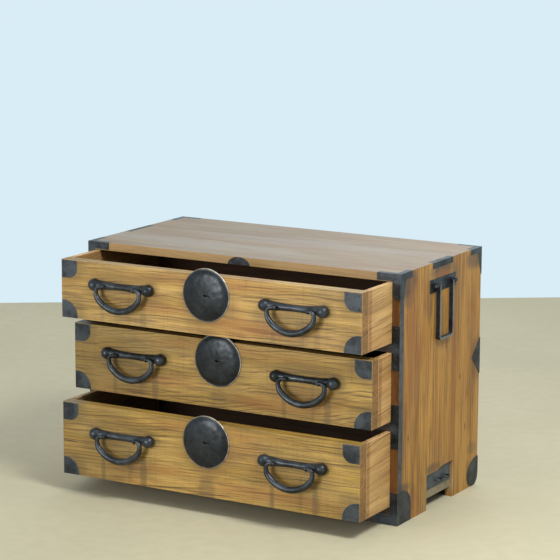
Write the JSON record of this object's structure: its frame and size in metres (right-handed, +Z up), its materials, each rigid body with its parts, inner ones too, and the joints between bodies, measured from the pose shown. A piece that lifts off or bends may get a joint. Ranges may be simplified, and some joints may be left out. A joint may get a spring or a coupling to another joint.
{
  "type": "isho clothing chest",
  "caption": "Low wooden clothing chest of drawers with iron corner plates, round lock plates, hanging drawer handles and folding carrying handles on the ends.",
  "frame": {"origin": "on the floor, mid-width, in the plane of the carcass's front edges", "axes": "+X to the right of someone facing the drawers' fronts from in front, as seen by them; +Y from the front to the back; +Z up"},
  "size_m": [0.9082, 0.6207, 0.61],
  "materials": {
    "top_wood": "weathered, oiled, open grain",
    "side_wood": "oiled, worn satin",
    "front_wood": "oiled, worn satin",
    "rail_wood": "oiled, worn satin",
    "drawer_wood": "bare, dry",
    "inner_wood": "bare, dusty",
    "plate_iron": "dark, waxed, semi-gloss",
    "handle_iron": "dark, rubbed semi-gloss",
    "lock_iron": "dark, rubbed semi-gloss",
    "nail_iron": "dark, dull"
  },
  "bodies": {
    "carcass": {"top_board": "top_wood", "bottom_board": "rail_wood", "left_side_panel": "side_wood", "right_side_panel": "side_wood", "back_panel": "inner_wood", "upper_divider": "rail_wood", "lower_divider": "rail_wood", "front_base_rail": "rail_wood", "rear_base_rail": "inner_wood", "top_front_corners": "plate_iron", "side_edge_strips": "plate_iron", "stile_straps": "plate_iron", "base_front_corners": "plate_iron", "rear_top_corners": "plate_iron", "rear_edge_plates": "plate_iron", "side_handle_plates": "plate_iron", "notch_plates": "plate_iron", "strike_plates": "plate_iron", "carcass_fasteners": "nail_iron"},
    "left_side_handle_body": {"left_side_handle": "handle_iron"},
    "right_side_handle_body": {"right_side_handle": "handle_iron"},
    "top_drawer": {"top_drawer_front": "front_wood", "top_drawer_left_side": "drawer_wood", "top_drawer_right_side": "drawer_wood", "top_drawer_back": "inner_wood", "top_drawer_bottom": "inner_wood", "top_drawer_corner_plates": "plate_iron", "top_drawer_lock_plate": "lock_iron", "top_drawer_lock_case": "nail_iron", "top_drawer_handle_bars": "handle_iron", "top_drawer_fasteners": "nail_iron"},
    "top_drawer_lock_bolt_body": {"top_drawer_lock_bolt": "nail_iron"},
    "top_drawer_left_handle_body": {"top_drawer_left_handle": "handle_iron"},
    "top_drawer_right_handle_body": {"top_drawer_right_handle": "handle_iron"},
    "middle_drawer": {"middle_drawer_front": "front_wood", "middle_drawer_left_side": "drawer_wood", "middle_drawer_right_side": "drawer_wood", "middle_drawer_back": "inner_wood", "middle_drawer_bottom": "inner_wood", "middle_drawer_corner_plates": "plate_iron", "middle_drawer_lock_plate": "lock_iron", "middle_drawer_lock_case": "nail_iron", "middle_drawer_handle_bars": "handle_iron", "middle_drawer_fasteners": "nail_iron"},
    "middle_drawer_lock_bolt_body": {"middle_drawer_lock_bolt": "nail_iron"},
    "middle_drawer_left_handle_body": {"middle_drawer_left_handle": "handle_iron"},
    "middle_drawer_right_handle_body": {"middle_drawer_right_handle": "handle_iron"},
    "bottom_drawer": {"bottom_drawer_front": "front_wood", "bottom_drawer_left_side": "drawer_wood", "bottom_drawer_right_side": "drawer_wood", "bottom_drawer_back": "inner_wood", "bottom_drawer_bottom": "inner_wood", "bottom_drawer_corner_plates": "plate_iron", "bottom_drawer_lock_plate": "lock_iron", "bottom_drawer_lock_case": "nail_iron", "bottom_drawer_handle_bars": "handle_iron", "bottom_drawer_fasteners": "nail_iron"},
    "bottom_drawer_lock_bolt_body": {"bottom_drawer_lock_bolt": "nail_iron"},
    "bottom_drawer_left_handle_body": {"bottom_drawer_left_handle": "handle_iron"},
    "bottom_drawer_right_handle_body": {"bottom_drawer_right_handle": "handle_iron"}
  },
  "joints": [
    {"name": "left_side_handle_hinge", "type": "hinge", "parent": "carcass", "child": "left_side_handle_body", "pos_m": [-0.44798, 0.224, 0.5535], "axis": [0, 1, 0], "range_deg": [-0.8, 181]},
    {"name": "right_side_handle_hinge", "type": "hinge", "parent": "carcass", "child": "right_side_handle_body", "pos_m": [0.44798, 0.224, 0.5535], "axis": [0, -1, 0], "range_deg": [-0.8, 181]},
    {"name": "top_drawer_slide", "type": "slide", "parent": "carcass", "child": "top_drawer", "axis": [0, -1, 0], "range_m": [-0.1477, 0.1915]},
    {"name": "top_drawer_left_handle_hinge", "type": "hinge", "parent": "top_drawer", "child": "top_drawer_left_handle_body", "pos_m": [-0.241, -0.16867, 0.5348], "axis": [-1, 0, 0], "range_deg": [-11, 191]},
    {"name": "top_drawer_right_handle_hinge", "type": "hinge", "parent": "top_drawer", "child": "top_drawer_right_handle_body", "pos_m": [0.241, -0.16867, 0.5348], "axis": [-1, 0, 0], "range_deg": [-11, 191]},
    {"name": "top_drawer_lock_bolt_slide", "type": "slide", "parent": "top_drawer", "child": "top_drawer_lock_bolt_body", "axis": [0, 0, 1], "range_m": [0, 0.008]},
    {"name": "middle_drawer_slide", "type": "slide", "parent": "carcass", "child": "middle_drawer", "axis": [0, -1, 0], "range_m": [-0.0947, 0.2445]},
    {"name": "middle_drawer_left_handle_hinge", "type": "hinge", "parent": "middle_drawer", "child": "middle_drawer_left_handle_body", "pos_m": [-0.241, -0.11567, 0.3538], "axis": [-1, 0, 0], "range_deg": [-11, 191]},
    {"name": "middle_drawer_right_handle_hinge", "type": "hinge", "parent": "middle_drawer", "child": "middle_drawer_right_handle_body", "pos_m": [0.241, -0.11567, 0.3538], "axis": [-1, 0, 0], "range_deg": [-11, 191]},
    {"name": "middle_drawer_lock_bolt_slide", "type": "slide", "parent": "middle_drawer", "child": "middle_drawer_lock_bolt_body", "axis": [0, 0, 1], "range_m": [0, 0.008]},
    {"name": "bottom_drawer_slide", "type": "slide", "parent": "carcass", "child": "bottom_drawer", "axis": [0, -1, 0], "range_m": [-0.1497, 0.1895]},
    {"name": "bottom_drawer_left_handle_hinge", "type": "hinge", "parent": "bottom_drawer", "child": "bottom_drawer_left_handle_body", "pos_m": [-0.241, -0.17067, 0.1603], "axis": [-1, 0, 0], "range_deg": [-11, 191]},
    {"name": "bottom_drawer_right_handle_hinge", "type": "hinge", "parent": "bottom_drawer", "child": "bottom_drawer_right_handle_body", "pos_m": [0.241, -0.17067, 0.1603], "axis": [-1, 0, 0], "range_deg": [-11, 191]},
    {"name": "bottom_drawer_lock_bolt_slide", "type": "slide", "parent": "bottom_drawer", "child": "bottom_drawer_lock_bolt_body", "axis": [0, 0, 1], "range_m": [0, 0.008]}
  ]
}
